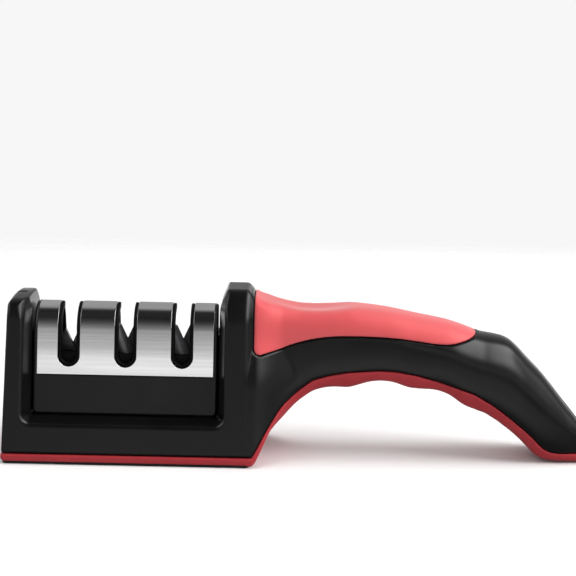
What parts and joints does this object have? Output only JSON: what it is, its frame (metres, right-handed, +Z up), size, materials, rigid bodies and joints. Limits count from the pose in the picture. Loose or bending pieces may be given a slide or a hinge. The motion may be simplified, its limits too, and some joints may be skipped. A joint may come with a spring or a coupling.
{
  "type": "knife sharpener",
  "caption": "Hand-held pull-through knife sharpener: a block with uprights, a slotted steel-covered cartridge that lifts out, and an arched soft-grip handle.",
  "frame": {"origin": "centre of the bounding box in X and Y, at the height of the table that the pad and the tail foot stand on", "axes": "+X along the object from the nose of the block to the tail of the handle, +Y from the side in the picture to the other side, +Z up"},
  "size_m": [0.205, 0.047, 0.0585],
  "materials": {
    "black_body": "satin black moulding with a fine texture",
    "red_frame": "matte dark red moulding",
    "red_grip": "soft-touch red elastomer",
    "pad_rubber": "matte black non-slip rubber",
    "brushed_cover": "stainless sheet brushed along its length",
    "black_cartridge": "satin black moulding",
    "seat_plastic": "plain moulded dark grey",
    "carbide": "ground dark tungsten carbide",
    "diamond_coat": "fine dark diamond grit on steel",
    "rod_ceramic": "smooth dark grey ceramic",
    "screw_steel": "plain zinc-plated steel"
  },
  "bodies": {
    "body": {"body_shell": "black_body", "bottom_frame": "red_frame", "base_pad": "pad_rubber", "top_grip": "red_grip", "base_screws": "screw_steel", "handle_screws": "screw_steel"},
    "cartridge": {"steel_cover": "brushed_cover", "cartridge_front": "black_cartridge", "cartridge_rear": "black_cartridge", "cartridge_screws": "screw_steel", "coarse_seat": "seat_plastic", "medium_seat": "seat_plastic", "fine_seat": "seat_plastic", "carbide_blade_front": "carbide", "carbide_blade_rear": "carbide", "blade_screw": "screw_steel", "diamond_rod_front": "diamond_coat", "diamond_rod_rear": "diamond_coat", "ceramic_rod_front": "rod_ceramic", "ceramic_rod_rear": "rod_ceramic"}
  },
  "joints": [
    {"name": "cartridge_lift", "type": "slide", "parent": "body", "child": "cartridge", "axis": [0, 0, 1], "range_m": [0, 0.046]}
  ]
}
